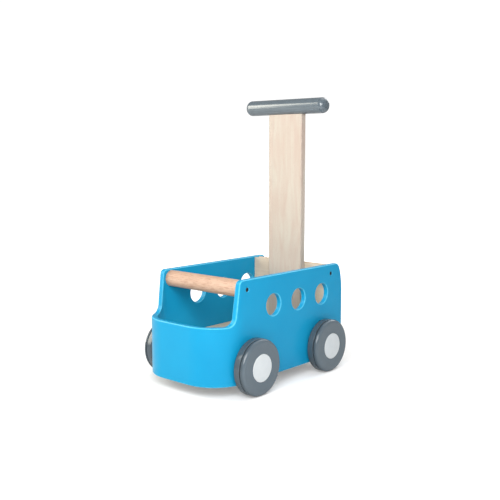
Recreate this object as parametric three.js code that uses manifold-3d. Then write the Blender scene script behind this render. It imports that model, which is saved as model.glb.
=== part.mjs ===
// Push along truck: a bent plywood body on four wooden wheels, with an upright post and push bar.
// Millimetres, +Z up. The truck's front faces -Y and its left side is +X.
// The origin is on the floor, under the middle of the truck.
import * as THREE from "three";
import { mergeVertices } from "three/addons/utils/BufferGeometryUtils.js";
import Module from "manifold-3d";

const wasm = await Module();
wasm.setup();

// ---- Driving dimensions ----
const FIT = 0.3; // clearance between pieces that touch
const OVERSHOOT = 2; // how far a cutter runs past the face that it opens

// Body shell: one bent sheet that makes both side walls and the front
const BODY_WIDTH = 173;
const BODY_LENGTH = 309;
const BODY_BOTTOM = 18;
const SIDE_TOP = 174.2;
const WALL = 9;
const CORNER_RADIUS = 58;
const RIM_TOP = 107; // top of the low front under the cab opening
const PILLAR_TOP_Y = -103.6; // where the cab's raked edge would meet the side's top
const PILLAR_RAKE = 0.13; // how far the raked edge runs forward for each millimetre down
const PILLAR_CORNER = 8;
const PILLAR_FILLET = 14;
const REAR_BOTTOM_CORNER = 10;
const REAR_CURVE_START = 129; // height where the rear edge starts to curve forward
const REAR_CURVE_RUN = 16.5; // how far forward the curve reaches at the top
const REAR_CURVE_LEAN = 1; // how far the curve's lower handle leans forward
const REAR_CURVE_FULLNESS = 0.7; // share of the run that the curve's upper handle spans
const REAR_CURVE_RISE = 0.4; // share of the rise that its lower handle spans

// Round windows, three in each side wall
const WINDOW_RADIUS = 17.2;
const WINDOW_HEIGHT = 128;
const WINDOW_FIRST_Y = -27;
const WINDOW_PITCH = 61.7;
const WINDOW_COUNT = 3;

// Floor, back panel and post
const FLOOR_THICKNESS = 9;
const PANEL_THICKNESS = 12;
const FLOOR_TOP = 65.5;
const PANEL_FRONT = 116.4;
const PANEL_BOTTOM = 22;
const PANEL_TOP = 171.2;
const PANEL_CORNER = 3;
const POST_WIDTH = 71.3;
const POST_THICKNESS = 11.2;
const POST_EDGE = 1.6;
const POST_REAR = PANEL_FRONT - FIT;

// Push bar on the post's top end
const BAR_RADIUS = 12.8;
const BAR_LENGTH = 167.3;
const BAR_END_ROUND = 9;
const TRUCK_HEIGHT = 448.2;
const BAR_Y = 109;
const BAR_Z = TRUCK_HEIGHT - BAR_RADIUS;

// Dowel across the cab opening
const DOWEL_RADIUS = 12.9;
const DOWEL_Y = -87.8;
const DOWEL_Z = 159.2;

// Wheels. Distances along a wheel's axis start at the body's wall and grow outwards
const WHEEL_RADIUS = 43.2;
const AXLE_Y = { front: -79.3, rear: 97.3 };
const WHEEL_INNER = 2.2;
const WHEEL_OUTER = 22;
const INNER_EDGE_ROUND = 3;
const OUTER_EDGE_ROUND = 5.8;
const GROOVE_FROM = 13.6;
const GROOVE_TO = 16;
const GROOVE_BOTTOM_RADIUS = 38;
const BUSH_BORE_RADIUS = 7; // bore in the wheel that holds the bush
const NUT_WELL_RADIUS = 13;
const NUT_WELL_FLOOR = 12.4;
const CAP_RADIUS = 21;
const CAP_SEAT = 20; // floor of the shallow seat that the hub cap lies in
const CAP_EDGE = 22.3;
const CAP_CROWN = 22.8;
const CAP_SPIGOT_START = 15.5;
const CAP_SPIGOT_WALL = 2.7;
const CAP_CHAMFER = 0.6;
const RING_RECESS = 0.8; // how far the ring's crown lies inside the tread
const RING_CHAMFER = 0.5;

// Axles and what keeps the wheels on them
const AXLE_RADIUS = 4;
const AXLE_REACH = 17.5; // how far an axle stands out of the wall
const AXLE_CHAMFER = 1;
const RUNNING_GAP = 0.4; // between an axle and what turns on it
const BUSH_FLANGE_RADIUS = 9.5;
const BUSH_FLANGE = 1.5;
const WASHER_RADIUS = 9;
const NUT_RADIUS = 8;
const NUT_THICKNESS = 2.5;
const NUT_GRIP_GAP = 0.15;
const BEAM_DEPTH = 28; // along the truck
const BEAM_BOTTOM = 30;
const BEAM_HALF_LENGTH = 76.8;
const BEAM_EDGE = 3;

// Fasteners. A screw's own axis starts at the surface that it is driven into
const SCREW_LENGTH = 30;
const SCREW_SHANK_RADIUS = 1.9;
const SCREW_HEAD_RADIUS = 3.2;
const SCREW_HEAD_HEIGHT = 2.2;
const SCREW_HEAD_RIM = 0.5;
const SCREW_TIP = 4;
const SCREW_SINK = 1; // how far the head lies below the surface
const SCREW_SOCKET = { radius: 1.6, depth: 1.2 };
const BOLT_SHANK_RADIUS = 2.9;
const BOLT_LENGTH = 18.5;
const BOLT_HEAD_RADIUS = 5.5;
const BOLT_HEAD_HEIGHT = 3;
const BOLT_HEAD_RIM = 1.2;
const BOLT_CROWN_RADIUS = 3.8;
const BOLT_SOCKET = { radius: 2.2, depth: 1.8 };
const INSERT_RADIUS = 4.4;
const INSERT_LENGTH = 8;
const POST_BOLT_X = 20;
const POST_BOLT_HEIGHTS = { lower: 93, upper: 143 };
const PANEL_SCREW_HEIGHTS = { lower: 70, upper: 158.7 };
const FLOOR_SCREW_X = 60;
const BEAM_SCREW_X = 45;
const BEAM_SCREW_OFFSET = 9; // from the axle, so that the screw clears it
const PIN_RADIUS = 3;
const PIN_X = 20;
const PIN_BOTTOM = 403;
const PIN_TOP = 437;

const SIDES = { left: 1, right: -1 };
const HALF_WIDTH = BODY_WIDTH / 2;
const HALF_LENGTH = BODY_LENGTH / 2;
const FLOOR_BOTTOM = FLOOR_TOP - FLOOR_THICKNESS;
const PANEL_MIDDLE = PANEL_FRONT + PANEL_THICKNESS / 2;
const PANEL_REAR = PANEL_FRONT + PANEL_THICKNESS;
const POST_MIDDLE = POST_REAR - POST_THICKNESS / 2;

// How many straight pieces a full turn is drawn with
const WHEEL_STEPS = 32;
const ROD_STEPS = 24;
const SMALL_STEPS = 12;
const SCREW_STEPS = 8;
const CORNER_STEPS = 6;
const EDGE_STEPS = 2;
const QUARTER_STEPS = 3;

// ---- Materials ----
const finish = (color, roughness, metalness = 0) =>
  new THREE.MeshStandardMaterial({ color, roughness, metalness });
const bluePaint = finish(0x24a3d9, 0.4);
const greyPaint = finish(0x76828c, 0.45);
const paleWood = finish(0xf0e4d6, 0.65);
const beech = finish(0xe6c4a8, 0.6);
const capPlastic = finish(0xdfe6e8, 0.4);
const bushPlastic = finish(0xe8e6e0, 0.5);
const ringRubber = finish(0x4a5055, 0.85);
const steel = finish(0xb8bcc0, 0.35, 1);
const darkSteel = finish(0x3a3d40, 0.45, 1);
const brass = finish(0xb99a55, 0.4, 1);

// ---- Solids ----
const AXIS_X = new THREE.Vector3(1, 0, 0);
const AXIS_Y = new THREE.Vector3(0, 1, 0);
const AXIS_Z = new THREE.Vector3(0, 0, 1);

// A closed geometry as a manifold solid: shared corners merged, triangles of no width left out.
function solid(geometry) {
  const bare = geometry.clone();
  bare.deleteAttribute("normal");
  bare.deleteAttribute("uv");
  const merged = mergeVertices(bare, 1e-4);
  const corners = merged.index.array;
  const kept = [];
  for (let i = 0; i < corners.length; i += 3) {
    const [a, b, c] = corners.slice(i, i + 3);
    if (a !== b && b !== c && c !== a) kept.push(a, b, c);
  }
  return new wasm.Manifold(
    new wasm.Mesh({
      numProp: 3,
      vertProperties: merged.attributes.position.array,
      triVerts: new Uint32Array(kept),
    }),
  );
}

// The way back: a manifold solid as a geometry with flat faces.
function geometryOf(made) {
  const { vertProperties, triVerts } = made.getMesh();
  const geometry = new THREE.BufferGeometry();
  geometry.setAttribute("position", new THREE.BufferAttribute(vertProperties, 3));
  geometry.setIndex(new THREE.BufferAttribute(triVerts, 1));
  const flat = geometry.toNonIndexed();
  flat.computeVertexNormals();
  return flat;
}

// A shape whose corners are [x, y, radius], a radius of 0 being a sharp corner.
function rounded(corners) {
  const shape = new THREE.Shape();
  corners.forEach(([x, y, radius = 0], i) => {
    const corner = new THREE.Vector2(x, y);
    const towards = (j) => {
      const [nx, ny] = corners[(j + corners.length) % corners.length];
      return new THREE.Vector2(nx, ny).sub(corner).normalize();
    };
    const back = towards(i - 1);
    const ahead = towards(i + 1);
    if (radius === 0) {
      if (i === 0) shape.moveTo(x, y);
      else shape.lineTo(x, y);
      return;
    }
    const half = Math.acos(THREE.MathUtils.clamp(back.dot(ahead), -1, 1)) / 2;
    const centre = back.clone().add(ahead).normalize();
    centre.multiplyScalar(radius / Math.sin(half)).add(corner);
    const start = back.clone().multiplyScalar(radius / Math.tan(half)).add(corner).sub(centre);
    const end = ahead.clone().multiplyScalar(radius / Math.tan(half)).add(corner).sub(centre);
    const clockwise = back.cross(ahead) > 0;
    shape.absarc(centre.x, centre.y, radius, start.angle(), end.angle(), clockwise);
  });
  return shape;
}

// A shape drawn in X and Y, from height low to height high.
function upright(shape, low, high, steps = CORNER_STEPS) {
  const options = { depth: high - low, bevelEnabled: false, curveSegments: steps };
  return new THREE.ExtrudeGeometry(shape, options).translate(0, 0, low);
}

// A shape drawn in Y and Z, from -half to half along X.
function across(shape, half, steps = CORNER_STEPS) {
  const options = { depth: 2 * half, bevelEnabled: false, curveSegments: steps };
  const turn = new THREE.Matrix4().makeBasis(AXIS_Y, AXIS_Z, AXIS_X);
  return new THREE.ExtrudeGeometry(shape, options).applyMatrix4(turn).translate(-half, 0, 0);
}

// A solid of revolution about X. The profile's points are [radius, distance along X].
function turned(profile, steps) {
  const points = profile.map(([radius, along]) => new THREE.Vector2(radius, along));
  return new THREE.LatheGeometry(points, steps).rotateZ(-Math.PI / 2);
}

// A plain round rod along X, from one end to the other.
const rod = (radius, from, to, steps) =>
  turned([[0, from], [radius, from], [radius, to], [0, to]], steps);

// A ring about X of rectangular section.
const collar = (inner, outer, from, to, steps) =>
  turned([[inner, from], [outer, from], [outer, to], [inner, to], [inner, from]], steps);

// Points of a quarter round, from angle start to start + 90 degrees.
function quarter(centreRadius, centreAlong, radius, start) {
  return Array.from({ length: QUARTER_STEPS + 1 }, (_, i) => {
    const angle = start + ((Math.PI / 2) * i) / QUARTER_STEPS;
    return [centreRadius + radius * Math.cos(angle), centreAlong + radius * Math.sin(angle)];
  });
}

// Turns something made along +X to point along a direction, and moves its start to a place.
function placed(geometry, [x, y, z], direction) {
  const turn = new THREE.Quaternion().setFromUnitVectors(AXIS_X, direction);
  return geometry.clone().applyQuaternion(turn).translate(x, y, z);
}

// A round hole through both side walls.
const crossHole = (radius, y, z, steps) =>
  rod(radius, -HALF_WIDTH - OVERSHOOT, HALF_WIDTH + OVERSHOOT, steps).translate(0, y, z);

// ---- Scene ----
const truck = new THREE.Group();

function add(name, shape, material, parent = truck) {
  const geometry = shape.isBufferGeometry ? geometryOf(solid(shape)) : geometryOf(shape);
  const piece = new THREE.Mesh(geometry, material);
  piece.name = name;
  parent.add(piece);
  return piece;
}

// ---- Fasteners ----
// Each is made once about X, its head outwards along +X, and then placed.
const hexSocket = ({ radius, depth }, top) =>
  solid(rod(radius, top - depth, top + OVERSHOOT, 6));

function woodScrew() {
  const headTop = -SCREW_SINK;
  const headBottom = headTop - SCREW_HEAD_HEIGHT;
  const tip = headTop - SCREW_LENGTH;
  const shape = solid(
    turned(
      [
        [0, tip],
        [SCREW_SHANK_RADIUS, tip + SCREW_TIP],
        [SCREW_SHANK_RADIUS, headBottom],
        [SCREW_HEAD_RADIUS, headTop - SCREW_HEAD_RIM],
        [SCREW_HEAD_RADIUS, headTop],
        [0, headTop],
      ],
      SCREW_STEPS,
    ),
  );
  return geometryOf(shape.subtract(hexSocket(SCREW_SOCKET, headTop)));
}

function screwHole() {
  const shoulder = -SCREW_SINK - SCREW_HEAD_HEIGHT - FIT;
  const bottom = -SCREW_SINK - SCREW_LENGTH - FIT;
  return turned(
    [
      [0, bottom],
      [SCREW_SHANK_RADIUS + FIT, bottom],
      [SCREW_SHANK_RADIUS + FIT, shoulder],
      [SCREW_HEAD_RADIUS + FIT, shoulder],
      [SCREW_HEAD_RADIUS + FIT, OVERSHOOT],
      [0, OVERSHOOT],
    ],
    SCREW_STEPS,
  );
}

function postBolt() {
  const crown = FIT + BOLT_HEAD_HEIGHT;
  const shape = solid(
    turned(
      [
        [0, FIT - BOLT_LENGTH],
        [BOLT_SHANK_RADIUS, FIT - BOLT_LENGTH],
        [BOLT_SHANK_RADIUS, FIT],
        [BOLT_HEAD_RADIUS, FIT],
        [BOLT_HEAD_RADIUS, FIT + BOLT_HEAD_RIM],
        [BOLT_CROWN_RADIUS, crown],
        [0, crown],
      ],
      SMALL_STEPS,
    ),
  );
  return geometryOf(shape.subtract(hexSocket(BOLT_SOCKET, crown)));
}

const screwShape = woodScrew();
const screwHoleShape = screwHole();
const boltShape = postBolt();

const rearwards = AXIS_Y;
const downwards = AXIS_Z.clone().negate();
const dowelScrews = [];
const panelScrews = [];
const beamScrews = { front: [], rear: [] };
const floorScrews = [];
const postBolts = [];

for (const [side, sign] of Object.entries(SIDES)) {
  const outwards = AXIS_X.clone().multiplyScalar(sign);
  const wallFace = sign * HALF_WIDTH;
  dowelScrews.push({
    name: "dowel_screw_" + side,
    at: [wallFace, DOWEL_Y, DOWEL_Z],
    direction: outwards,
  });
  for (const [level, height] of Object.entries(PANEL_SCREW_HEIGHTS)) {
    panelScrews.push({
      name: "panel_screw_" + level + "_" + side,
      at: [wallFace, PANEL_MIDDLE, height],
      direction: outwards,
    });
  }
  for (const [axle, y] of Object.entries(AXLE_Y)) {
    beamScrews[axle].push({
      name: "beam_screw_" + axle + "_" + side,
      at: [sign * BEAM_SCREW_X, y + sign * BEAM_SCREW_OFFSET, BEAM_BOTTOM],
      direction: downwards,
    });
  }
  floorScrews.push({
    name: "floor_screw_" + side,
    at: [sign * FLOOR_SCREW_X, PANEL_REAR, FLOOR_TOP - FLOOR_THICKNESS / 2],
    direction: rearwards,
  });
  for (const [level, height] of Object.entries(POST_BOLT_HEIGHTS)) {
    postBolts.push({
      name: level + "_" + side,
      at: [sign * POST_BOLT_X, PANEL_REAR, height],
      direction: rearwards,
    });
  }
}

const allBeamScrews = [...beamScrews.front, ...beamScrews.rear];

// A piece with its fasteners' holes cut out of it.
function drilled(shape, fasteners, hole = screwHoleShape) {
  return fasteners.reduce(
    (left, { at, direction }) => left.subtract(solid(placed(hole, at, direction))),
    shape,
  );
}

// ---- Body shell ----
// The truck's plan: straight sides, an open rear end and two round front corners.
function plan(halfWidth, front, rear, radius) {
  return rounded([
    [halfWidth, rear],
    [-halfWidth, rear],
    [-halfWidth, front, radius],
    [halfWidth, front, radius],
  ]);
}

// The space between the walls, this far in from them, as a solid between two heights.
function inside(inset, rear, low, high) {
  const halfWidth = HALF_WIDTH - WALL - inset;
  const front = WALL + inset - HALF_LENGTH;
  return solid(upright(plan(halfWidth, front, rear, CORNER_RADIUS - WALL - inset), low, high));
}

// The side view, in Y and Z: low at the front, raked up to the sides' top, curved at the rear.
function sideOutline() {
  const rise = SIDE_TOP - RIM_TOP;
  const ahead = -HALF_LENGTH - OVERSHOOT;
  const shape = rounded([
    [HALF_LENGTH - REAR_CURVE_RUN, SIDE_TOP],
    [PILLAR_TOP_Y, SIDE_TOP, PILLAR_CORNER],
    [PILLAR_TOP_Y - PILLAR_RAKE * rise, RIM_TOP, PILLAR_FILLET],
    [ahead, RIM_TOP],
    [ahead, BODY_BOTTOM],
    [HALF_LENGTH, BODY_BOTTOM, REAR_BOTTOM_CORNER],
    [HALF_LENGTH, REAR_CURVE_START],
  ]);
  const rearTop = HALF_LENGTH - REAR_CURVE_RUN;
  shape.bezierCurveTo(
    HALF_LENGTH - REAR_CURVE_LEAN,
    THREE.MathUtils.lerp(REAR_CURVE_START, SIDE_TOP, REAR_CURVE_RISE),
    rearTop + REAR_CURVE_RUN * REAR_CURVE_FULLNESS,
    SIDE_TOP,
    rearTop,
    SIDE_TOP,
  );
  return shape;
}

function bodyShell() {
  const outer = plan(HALF_WIDTH, -HALF_LENGTH, HALF_LENGTH, CORNER_RADIUS);
  const high = SIDE_TOP + OVERSHOOT;
  const walls = solid(upright(outer, BODY_BOTTOM, high)).subtract(
    inside(0, HALF_LENGTH + OVERSHOOT, BODY_BOTTOM - OVERSHOOT, high + OVERSHOOT),
  );
  let shell = walls.intersect(solid(across(sideOutline(), HALF_WIDTH + OVERSHOOT)));
  for (let i = 0; i < WINDOW_COUNT; i++) {
    const y = WINDOW_FIRST_Y + i * WINDOW_PITCH;
    shell = shell.subtract(solid(crossHole(WINDOW_RADIUS, y, WINDOW_HEIGHT, WHEEL_STEPS)));
  }
  for (const y of Object.values(AXLE_Y)) {
    const radius = AXLE_RADIUS + RUNNING_GAP;
    shell = shell.subtract(solid(crossHole(radius, y, WHEEL_RADIUS, SMALL_STEPS)));
  }
  return drilled(shell, [...dowelScrews, ...panelScrews]);
}

add("body_shell", bodyShell(), bluePaint);

// ---- Floor, back panel and axle beams ----
const floor = inside(FIT, PANEL_FRONT - FIT, FLOOR_BOTTOM, FLOOR_TOP);
add("floor_board", drilled(floor, [...floorScrews, ...allBeamScrews]), paleWood);

function backPanel() {
  const half = HALF_WIDTH - WALL - FIT;
  const side = rounded([
    [PANEL_FRONT, PANEL_BOTTOM],
    [PANEL_REAR, PANEL_BOTTOM, PANEL_CORNER],
    [PANEL_REAR, PANEL_TOP, PANEL_CORNER],
    [PANEL_FRONT, PANEL_TOP, PANEL_CORNER],
  ]);
  const boltBore = BOLT_SHANK_RADIUS + FIT;
  const boltHole = rod(boltBore, -PANEL_THICKNESS - OVERSHOOT, OVERSHOOT, SMALL_STEPS);
  const panel = solid(across(side, half, EDGE_STEPS));
  return drilled(drilled(panel, [...panelScrews, ...floorScrews]), postBolts, boltHole);
}

add("back_panel", backPanel(), paleWood);

for (const [axle, y] of Object.entries(AXLE_Y)) {
  const section = rounded([
    [y - BEAM_DEPTH / 2, BEAM_BOTTOM, BEAM_EDGE],
    [y + BEAM_DEPTH / 2, BEAM_BOTTOM, BEAM_EDGE],
    [y + BEAM_DEPTH / 2, FLOOR_BOTTOM - FIT],
    [y - BEAM_DEPTH / 2, FLOOR_BOTTOM - FIT],
  ]);
  const bore = crossHole(AXLE_RADIUS + RUNNING_GAP, y, WHEEL_RADIUS, SMALL_STEPS);
  const beam = solid(across(section, BEAM_HALF_LENGTH, EDGE_STEPS)).subtract(solid(bore));
  add("axle_beam_" + axle, drilled(beam, beamScrews[axle]), paleWood);
}

// ---- Handle post and push bar ----
// The post's top end is hollowed to the bar, and two pins stand in both.
const pinHoles = Object.values(SIDES).map((sign) =>
  solid(
    placed(
      rod(PIN_RADIUS + FIT, PIN_BOTTOM - FIT, PIN_TOP + FIT, SMALL_STEPS),
      [sign * PIN_X, POST_MIDDLE, 0],
      AXIS_Z,
    ),
  ),
);

function handlePost() {
  const half = POST_WIDTH / 2;
  const front = POST_REAR - POST_THICKNESS;
  const section = rounded([
    [-half, front, POST_EDGE],
    [half, front, POST_EDGE],
    [half, POST_REAR, POST_EDGE],
    [-half, POST_REAR, POST_EDGE],
  ]);
  const insertEnd = -PANEL_THICKNESS - INSERT_LENGTH - 3 * FIT;
  const insertHole = rod(INSERT_RADIUS + FIT, insertEnd, 0, SMALL_STEPS);
  const saddle = rod(BAR_RADIUS + FIT, -half - OVERSHOOT, half + OVERSHOOT, ROD_STEPS);
  let post = solid(upright(section, FLOOR_TOP + FIT, BAR_Z - BAR_RADIUS / 2, EDGE_STEPS));
  post = post.subtract(solid(saddle.translate(0, BAR_Y, BAR_Z)));
  pinHoles.forEach((hole) => (post = post.subtract(hole)));
  return drilled(post, postBolts, insertHole);
}

add("handle_post", handlePost(), paleWood);

function pushBar() {
  const end = BAR_LENGTH / 2;
  const shoulder = end - BAR_END_ROUND;
  const neck = BAR_RADIUS - BAR_END_ROUND;
  const profile = [
    [0, -end],
    ...quarter(neck, -shoulder, BAR_END_ROUND, -Math.PI / 2),
    ...quarter(neck, shoulder, BAR_END_ROUND, 0),
    [0, end],
  ];
  let bar = solid(turned(profile, ROD_STEPS).translate(0, BAR_Y, BAR_Z));
  pinHoles.forEach((hole) => (bar = bar.subtract(hole)));
  return bar;
}

add("push_bar", pushBar(), greyPaint);

// ---- Front dowel ----
// Its ends are cut to the walls' inner faces.
function frontDowel() {
  const long = rod(DOWEL_RADIUS, -HALF_WIDTH, HALF_WIDTH, ROD_STEPS);
  const between = inside(FIT, 0, RIM_TOP, SIDE_TOP);
  const dowel = solid(long.translate(0, DOWEL_Y, DOWEL_Z)).intersect(between);
  return drilled(dowel, dowelScrews);
}

add("front_dowel", frontDowel(), beech);

// ---- Axles ----
for (const [axle, y] of Object.entries(AXLE_Y)) {
  const end = HALF_WIDTH + AXLE_REACH;
  const shape = turned(
    [
      [0, -end],
      [AXLE_RADIUS - AXLE_CHAMFER, -end],
      [AXLE_RADIUS, AXLE_CHAMFER - end],
      [AXLE_RADIUS, end - AXLE_CHAMFER],
      [AXLE_RADIUS - AXLE_CHAMFER, end],
      [0, end],
    ],
    SMALL_STEPS,
  );
  add(axle + "_axle", shape, steel).position.set(0, y, WHEEL_RADIUS);
}

// ---- Wheels ----
// One wheel's pieces, along +X from the body's wall outwards.
function wheelDisc() {
  const innerEdge = quarter(
    WHEEL_RADIUS - INNER_EDGE_ROUND,
    WHEEL_INNER + INNER_EDGE_ROUND,
    INNER_EDGE_ROUND,
    -Math.PI / 2,
  );
  const outerEdge = quarter(
    WHEEL_RADIUS - OUTER_EDGE_ROUND,
    WHEEL_OUTER - OUTER_EDGE_ROUND,
    OUTER_EDGE_ROUND,
    0,
  );
  const profile = [
    [BUSH_BORE_RADIUS, WHEEL_INNER],
    ...innerEdge,
    [WHEEL_RADIUS, GROOVE_FROM],
    [GROOVE_BOTTOM_RADIUS, GROOVE_FROM],
    [GROOVE_BOTTOM_RADIUS, GROOVE_TO],
    [WHEEL_RADIUS, GROOVE_TO],
    ...outerEdge,
    [CAP_RADIUS + FIT, WHEEL_OUTER],
    [CAP_RADIUS + FIT, CAP_SEAT],
    [NUT_WELL_RADIUS, CAP_SEAT],
    [NUT_WELL_RADIUS, NUT_WELL_FLOOR],
    [BUSH_BORE_RADIUS, NUT_WELL_FLOOR],
    [BUSH_BORE_RADIUS, WHEEL_INNER],
  ];
  return turned(profile, WHEEL_STEPS);
}

function treadRing() {
  const crown = WHEEL_RADIUS - RING_RECESS;
  const from = GROOVE_FROM + FIT;
  const to = GROOVE_TO - FIT;
  const inner = GROOVE_BOTTOM_RADIUS + FIT;
  const profile = [
    [inner, from],
    [crown - RING_CHAMFER, from],
    [crown, from + RING_CHAMFER],
    [crown, to - RING_CHAMFER],
    [crown - RING_CHAMFER, to],
    [inner, to],
    [inner, from],
  ];
  return turned(profile, WHEEL_STEPS);
}

function hubCap() {
  const under = CAP_SEAT + FIT;
  const spigot = NUT_WELL_RADIUS - FIT;
  const profile = [
    [0, under],
    [spigot - CAP_SPIGOT_WALL, under],
    [spigot - CAP_SPIGOT_WALL, CAP_SPIGOT_START],
    [spigot, CAP_SPIGOT_START],
    [spigot, under],
    [CAP_RADIUS, under],
    [CAP_RADIUS, CAP_EDGE - CAP_CHAMFER],
    [CAP_RADIUS - CAP_CHAMFER, CAP_EDGE],
    [0, CAP_CROWN],
  ];
  return turned(profile, ROD_STEPS);
}

function hubBush() {
  const inner = AXLE_RADIUS + RUNNING_GAP;
  const flange = NUT_WELL_FLOOR + FIT;
  const profile = [
    [inner, WHEEL_INNER],
    [BUSH_BORE_RADIUS - FIT, WHEEL_INNER],
    [BUSH_BORE_RADIUS - FIT, flange],
    [BUSH_FLANGE_RADIUS, flange],
    [BUSH_FLANGE_RADIUS, flange + BUSH_FLANGE],
    [inner, flange + BUSH_FLANGE],
    [inner, WHEEL_INNER],
  ];
  return turned(profile, SMALL_STEPS);
}

const nutStart = NUT_WELL_FLOOR + BUSH_FLANGE + 2 * FIT;
const nutBore = AXLE_RADIUS + NUT_GRIP_GAP;
const nutShape = collar(nutBore, NUT_RADIUS, nutStart, nutStart + NUT_THICKNESS, SMALL_STEPS);
const washerBore = AXLE_RADIUS + RUNNING_GAP;
const washerShape = collar(washerBore, WASHER_RADIUS, FIT, WHEEL_INNER - FIT, SMALL_STEPS);

for (const [axle, y] of Object.entries(AXLE_Y)) {
  for (const [side, sign] of Object.entries(SIDES)) {
    const station = new THREE.Group();
    station.position.set(sign * HALF_WIDTH, y, WHEEL_RADIUS);
    station.rotation.z = sign > 0 ? 0 : Math.PI;
    truck.add(station);
    const prefix = axle + "_" + side + "_";
    add(prefix + "wheel", wheelDisc(), greyPaint, station);
    add(prefix + "tread_ring", treadRing(), ringRubber, station);
    add(prefix + "hub_cap", hubCap(), capPlastic, station);
    add(prefix + "hub_bush", hubBush(), bushPlastic, station);
    add(prefix + "washer", washerShape, steel, station);
    add(prefix + "push_nut", nutShape, steel, station);
  }
}

// ---- Screws, bolts, inserts and pins ----
for (const { name, at, direction } of [...dowelScrews, ...panelScrews]) {
  add(name, placed(screwShape, at, direction), darkSteel);
}
for (const { name, at, direction } of [...allBeamScrews, ...floorScrews]) {
  add(name, placed(screwShape, at, direction), steel);
}

const insertStart = -PANEL_THICKNESS - 2 * FIT;
const insertBore = BOLT_SHANK_RADIUS + FIT;
const insertShape = collar(
  insertBore,
  INSERT_RADIUS,
  insertStart - INSERT_LENGTH,
  insertStart,
  SMALL_STEPS,
);
for (const { name, at, direction } of postBolts) {
  add("post_bolt_" + name, placed(boltShape, at, direction), steel);
  add("post_insert_" + name, placed(insertShape, at, direction), brass);
}

for (const [side, sign] of Object.entries(SIDES)) {
  const pin = rod(PIN_RADIUS, PIN_BOTTOM, PIN_TOP, SMALL_STEPS);
  add("bar_pin_" + side, placed(pin, [sign * PIN_X, POST_MIDDLE, 0], AXIS_Z), beech);
}

export default truck;
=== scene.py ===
"""A push along truck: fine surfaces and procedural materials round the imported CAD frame.

Metres, in the row's frame: +Z up, the truck's front faces -Y and its left side is +X.
"""

import math

import bmesh
import bpy
from mathutils import Matrix, Vector
from mathutils.geometry import tessellate_polygon


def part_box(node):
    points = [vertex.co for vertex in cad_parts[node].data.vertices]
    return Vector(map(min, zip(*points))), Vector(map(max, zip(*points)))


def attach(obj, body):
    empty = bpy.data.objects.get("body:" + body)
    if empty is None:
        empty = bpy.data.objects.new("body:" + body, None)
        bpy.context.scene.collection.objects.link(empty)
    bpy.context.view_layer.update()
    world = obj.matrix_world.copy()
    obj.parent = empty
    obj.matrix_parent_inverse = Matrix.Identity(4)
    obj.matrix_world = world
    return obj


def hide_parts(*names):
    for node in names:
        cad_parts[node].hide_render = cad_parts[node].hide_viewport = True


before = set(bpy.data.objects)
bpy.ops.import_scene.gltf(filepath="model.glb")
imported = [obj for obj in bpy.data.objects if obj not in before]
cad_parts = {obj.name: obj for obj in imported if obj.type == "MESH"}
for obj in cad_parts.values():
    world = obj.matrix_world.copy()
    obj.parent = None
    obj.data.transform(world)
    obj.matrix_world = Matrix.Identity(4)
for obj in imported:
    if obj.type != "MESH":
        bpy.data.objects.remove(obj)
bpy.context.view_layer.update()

MM = 0.001
FIT = 0.3 * MM  # clearance between pieces that touch
SIDES = {"left": 1, "right": -1}
AXLES = ("front", "rear")


def middle(node):
    """The centre of a CAD node's box."""
    return sum(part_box(node), Vector()) / 2


# ---- Sizes that the frame gives ----
SHELL_LOW, SHELL_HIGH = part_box("body_shell")
FLOOR_LOW, FLOOR_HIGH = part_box("floor_board")
PANEL_LOW, PANEL_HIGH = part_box("back_panel")
POST_LOW, POST_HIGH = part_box("handle_post")
BAR_LOW, BAR_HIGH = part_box("push_bar")
DOWEL_LOW, DOWEL_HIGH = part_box("front_dowel")
BAR = (BAR_LOW + BAR_HIGH) / 2
DOWEL = (DOWEL_LOW + DOWEL_HIGH) / 2
BAR_RADIUS = BAR_HIGH.z - BAR.z
DOWEL_RADIUS = DOWEL_HIGH.z - DOWEL.z
HALF_WIDTH = SHELL_HIGH.x
HALF_LENGTH = SHELL_HIGH.y
WALL = HALF_WIDTH - FLOOR_HIGH.x - FIT
WHEEL_CENTRES = {axle: middle(axle + "_axle") for axle in AXLES}
WHEEL_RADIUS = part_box("front_left_wheel")[1].z - WHEEL_CENTRES["front"].z

# ---- The shell ----
CORNER_RADIUS = 58 * MM
RIM_TOP = 107 * MM
PILLAR_TOP_Y = -103.6 * MM
PILLAR_RAKE = 0.13
PILLAR_CORNER = 8 * MM
PILLAR_FILLET = 14 * MM
REAR_BOTTOM_CORNER = 10 * MM
REAR_CURVE_START = 129 * MM
REAR_CURVE_RUN = 16.5 * MM
REAR_CURVE_LEAN = 1 * MM
REAR_CURVE_FULLNESS = 0.7
REAR_CURVE_RISE = 0.4
WINDOW_RADIUS = 17.2 * MM
WINDOW_HEIGHT = 128 * MM
WINDOW_FIRST_Y = -27 * MM
WINDOW_PITCH = 61.7 * MM
WINDOW_COUNT = 3
AXLE_HOLE_RADIUS = 4.4 * MM
SCREW_HOLE_RADIUS = 3.5 * MM
SHELL_EASE = 1.8 * MM
WINDOW_EASE = 1.6 * MM
HOLE_EASE = 0.5 * MM
BEND_STRIPS = 30  # flat strips that each round corner is made of
SAWN_UNTIL = math.radians(34)  # how far round a corner the cab opening is cut straight across
SAWN_FADE = math.radians(86)  # how far round the edge is square to the wall again

# ---- The boards, the post and the beams ----
FLOOR_EASE = 0.7 * MM
PANEL_EASE = 1.6 * MM
POST_EASE = 1.6 * MM
POST_LAYERS = 8  # rows of faces through its depth, so that its top can be hollowed
POST_OVERRUN = 4 * POST_EASE  # how far its outline passes its ends, before it is cut back to them
BEAM_EASE = 1.5 * MM
PLY = 2.7 * MM  # spacing of the dark layers on a plywood edge
BAR_END_ROUND = 9 * MM
DOWEL_EASE = 0.5 * MM

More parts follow.
